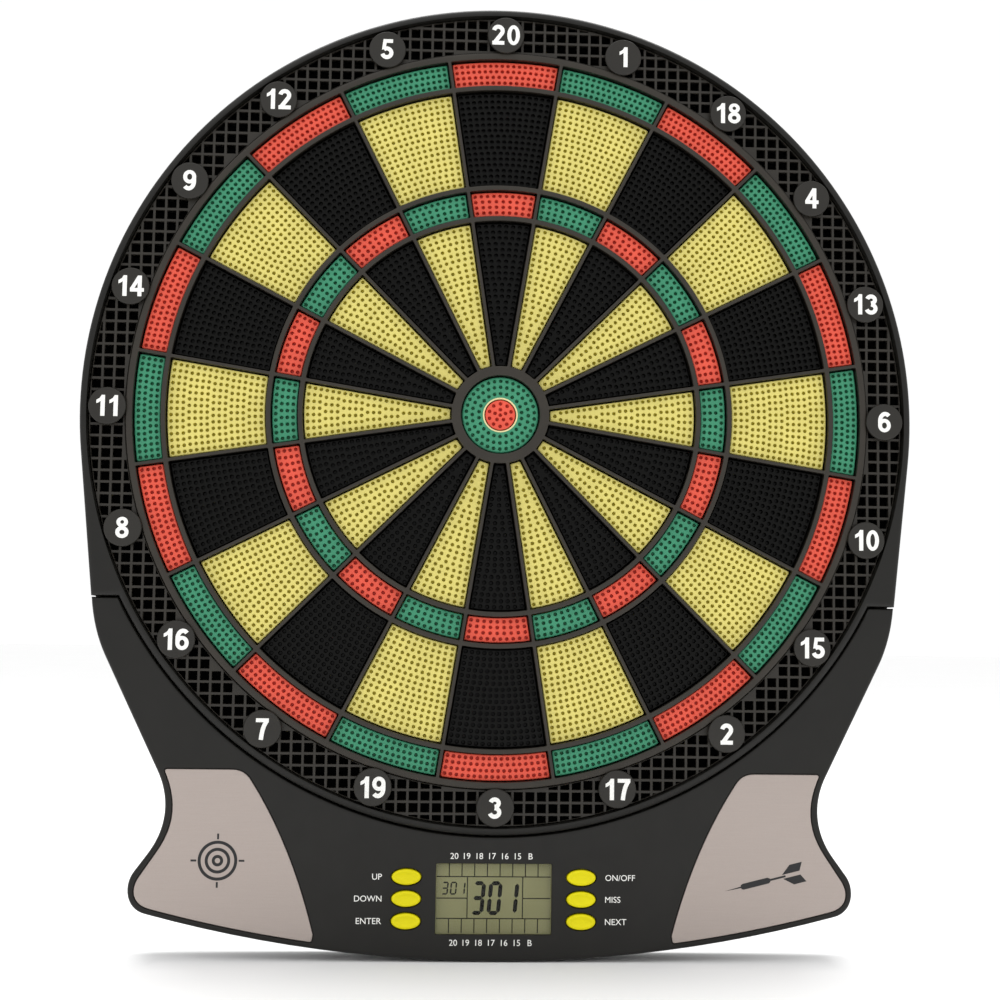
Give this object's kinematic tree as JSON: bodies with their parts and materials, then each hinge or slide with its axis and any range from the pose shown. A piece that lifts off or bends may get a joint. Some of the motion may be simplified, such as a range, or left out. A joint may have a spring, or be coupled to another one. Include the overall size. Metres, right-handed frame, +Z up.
{
  "type": "electronic dartboard",
  "caption": "Wall-hung electronic soft-tip dartboard: round segmented target that presses a sensor membrane, catch ring with numbers, waisted scoring console with display and oval buttons.",
  "frame": {"origin": "on the bull's axis, on the flat back face that lies against the wall", "axes": "+X to the right seen from the front, +Y into the wall, +Z up; the target faces -Y"},
  "size_m": [0.3918, 0.0286, 0.4489],
  "materials": {
    "housing_plastic": "fine satin texture, softly bevelled edges",
    "rear_plastic": "fine spark-eroded texture",
    "spider_plastic": "satin, warm dark grey",
    "segment_black": "satin, with small round dart-tip holes",
    "segment_yellow": "satin, with small round dart-tip holes",
    "segment_red": "satin, with small round dart-tip holes",
    "segment_green": "satin, with small round dart-tip holes",
    "wing_silver": "satin warm silver, fine brushed grain",
    "button_yellow": "smooth, slightly glossy",
    "window_clear": "clear flat window",
    "lcd_glass": "olive grey reflective LCD",
    "keypad_rubber": "matt silicone",
    "cushion_foam": "closed-cell foam sheet",
    "membrane_film": "translucent polyester film with printed tracks",
    "fibreboard": "hard fibreboard",
    "circuit_board": "green solder mask",
    "speaker_steel": "stamped steel",
    "contact_steel": "nickel-plated spring steel",
    "screw_steel": "zinc-plated",
    "cell_wrap": "printed sleeve"
  },
  "bodies": {
    "housing": {"rear_housing": "rear_plastic", "front_housing": "housing_plastic", "console_cover": "housing_plastic", "catch_ring": "spider_plastic", "spider": "spider_plastic", "backing_board": "fibreboard", "sensor_membrane": "membrane_film", "cushion_mat": "cushion_foam", "membrane_tail": "membrane_film", "right_wing_panel": "wing_silver", "left_wing_panel": "wing_silver", "lcd_window": "window_clear", "lcd_panel": "lcd_glass", "lcd_holder": "rear_plastic", "keypad_left": "keypad_rubber", "keypad_right": "keypad_rubber", "circuit_board": "circuit_board", "speaker": "speaker_steel", "battery_1": "cell_wrap", "battery_2": "cell_wrap", "battery_3": "cell_wrap", "battery_contacts_left": "contact_steel", "battery_contacts_right": "contact_steel", "screw_1": "screw_steel", "screw_2": "screw_steel", "screw_3": "screw_steel", "screw_4": "screw_steel", "screw_5": "screw_steel", "screw_6": "screw_steel", "screw_7": "screw_steel", "screw_8": "screw_steel"},
    "sector_01": {"sector_01": "segment_black"},
    "sector_02": {"sector_02": "segment_yellow"},
    "sector_03": {"sector_03": "segment_black"},
    "sector_04": {"sector_04": "segment_yellow"},
    "sector_05": {"sector_05": "segment_black"},
    "sector_06": {"sector_06": "segment_yellow"},
    "sector_07": {"sector_07": "segment_black"},
    "sector_08": {"sector_08": "segment_yellow"},
    "sector_09": {"sector_09": "segment_black"},
    "sector_10": {"sector_10": "segment_yellow"},
    "sector_11": {"sector_11": "segment_black"},
    "sector_12": {"sector_12": "segment_yellow"},
    "sector_13": {"sector_13": "segment_black"},
    "sector_14": {"sector_14": "segment_yellow"},
    "sector_15": {"sector_15": "segment_black"},
    "sector_16": {"sector_16": "segment_yellow"},
    "sector_17": {"sector_17": "segment_black"},
    "sector_18": {"sector_18": "segment_yellow"},
    "sector_19": {"sector_19": "segment_black"},
    "sector_20": {"sector_20": "segment_yellow"},
    "outer_bull": {"outer_bull": "segment_green"},
    "inner_bull": {"inner_bull": "segment_red"},
    "up_button": {"up_button": "button_yellow"},
    "down_button": {"down_button": "button_yellow"},
    "enter_button": {"enter_button": "button_yellow"},
    "power_button": {"power_button": "button_yellow"},
    "miss_button": {"miss_button": "button_yellow"},
    "next_button": {"next_button": "button_yellow"},
    "battery_door": {"battery_door": "rear_plastic"}
  },
  "joints": [
    {"name": "sector_01_press", "type": "slide", "parent": "housing", "child": "sector_01", "axis": [0, 1, 0], "range_m": [0, 0.001], "stiffness_N_per_m": 800},
    {"name": "sector_02_press", "type": "slide", "parent": "housing", "child": "sector_02", "axis": [0, 1, 0], "range_m": [0, 0.001], "stiffness_N_per_m": 800},
    {"name": "sector_03_press", "type": "slide", "parent": "housing", "child": "sector_03", "axis": [0, 1, 0], "range_m": [0, 0.001], "stiffness_N_per_m": 800},
    {"name": "sector_04_press", "type": "slide", "parent": "housing", "child": "sector_04", "axis": [0, 1, 0], "range_m": [0, 0.001], "stiffness_N_per_m": 800},
    {"name": "sector_05_press", "type": "slide", "parent": "housing", "child": "sector_05", "axis": [0, 1, 0], "range_m": [0, 0.001], "stiffness_N_per_m": 800},
    {"name": "sector_06_press", "type": "slide", "parent": "housing", "child": "sector_06", "axis": [0, 1, 0], "range_m": [0, 0.001], "stiffness_N_per_m": 800},
    {"name": "sector_07_press", "type": "slide", "parent": "housing", "child": "sector_07", "axis": [0, 1, 0], "range_m": [0, 0.001], "stiffness_N_per_m": 800},
    {"name": "sector_08_press", "type": "slide", "parent": "housing", "child": "sector_08", "axis": [0, 1, 0], "range_m": [0, 0.001], "stiffness_N_per_m": 800},
    {"name": "sector_09_press", "type": "slide", "parent": "housing", "child": "sector_09", "axis": [0, 1, 0], "range_m": [0, 0.001], "stiffness_N_per_m": 800},
    {"name": "sector_10_press", "type": "slide", "parent": "housing", "child": "sector_10", "axis": [0, 1, 0], "range_m": [0, 0.001], "stiffness_N_per_m": 800},
    {"name": "sector_11_press", "type": "slide", "parent": "housing", "child": "sector_11", "axis": [0, 1, 0], "range_m": [0, 0.001], "stiffness_N_per_m": 800},
    {"name": "sector_12_press", "type": "slide", "parent": "housing", "child": "sector_12", "axis": [0, 1, 0], "range_m": [0, 0.001], "stiffness_N_per_m": 800},
    {"name": "sector_13_press", "type": "slide", "parent": "housing", "child": "sector_13", "axis": [0, 1, 0], "range_m": [0, 0.001], "stiffness_N_per_m": 800},
    {"name": "sector_14_press", "type": "slide", "parent": "housing", "child": "sector_14", "axis": [0, 1, 0], "range_m": [0, 0.001], "stiffness_N_per_m": 800},
    {"name": "sector_15_press", "type": "slide", "parent": "housing", "child": "sector_15", "axis": [0, 1, 0], "range_m": [0, 0.001], "stiffness_N_per_m": 800},
    {"name": "sector_16_press", "type": "slide", "parent": "housing", "child": "sector_16", "axis": [0, 1, 0], "range_m": [0, 0.001], "stiffness_N_per_m": 800},
    {"name": "sector_17_press", "type": "slide", "parent": "housing", "child": "sector_17", "axis": [0, 1, 0], "range_m": [0, 0.001], "stiffness_N_per_m": 800},
    {"name": "sector_18_press", "type": "slide", "parent": "housing", "child": "sector_18", "axis": [0, 1, 0], "range_m": [0, 0.001], "stiffness_N_per_m": 800},
    {"name": "sector_19_press", "type": "slide", "parent": "housing", "child": "sector_19", "axis": [0, 1, 0], "range_m": [0, 0.001], "stiffness_N_per_m": 800},
    {"name": "sector_20_press", "type": "slide", "parent": "housing", "child": "sector_20", "axis": [0, 1, 0], "range_m": [0, 0.001], "stiffness_N_per_m": 800},
    {"name": "outer_bull_press", "type": "slide", "parent": "housing", "child": "outer_bull", "axis": [0, 1, 0], "range_m": [0, 0.001], "stiffness_N_per_m": 800},
    {"name": "inner_bull_press", "type": "slide", "parent": "housing", "child": "inner_bull", "axis": [0, 1, 0], "range_m": [0, 0.001], "stiffness_N_per_m": 800},
    {"name": "up_button_press", "type": "slide", "parent": "housing", "child": "up_button", "axis": [0, 1, 0], "range_m": [0, 0.0008], "stiffness_N_per_m": 500},
    {"name": "down_button_press", "type": "slide", "parent": "housing", "child": "down_button", "axis": [0, 1, 0], "range_m": [0, 0.0008], "stiffness_N_per_m": 500},
    {"name": "enter_button_press", "type": "slide", "parent": "housing", "child": "enter_button", "axis": [0, 1, 0], "range_m": [0, 0.0008], "stiffness_N_per_m": 500},
    {"name": "power_button_press", "type": "slide", "parent": "housing", "child": "power_button", "axis": [0, 1, 0], "range_m": [0, 0.0008], "stiffness_N_per_m": 500},
    {"name": "miss_button_press", "type": "slide", "parent": "housing", "child": "miss_button", "axis": [0, 1, 0], "range_m": [0, 0.0008], "stiffness_N_per_m": 500},
    {"name": "next_button_press", "type": "slide", "parent": "housing", "child": "next_button", "axis": [0, 1, 0], "range_m": [0, 0.0008], "stiffness_N_per_m": 500},
    {"name": "battery_door_pull", "type": "slide", "parent": "housing", "child": "battery_door", "axis": [0, 1, 0], "range_m": [0, 0.012]}
  ]
}
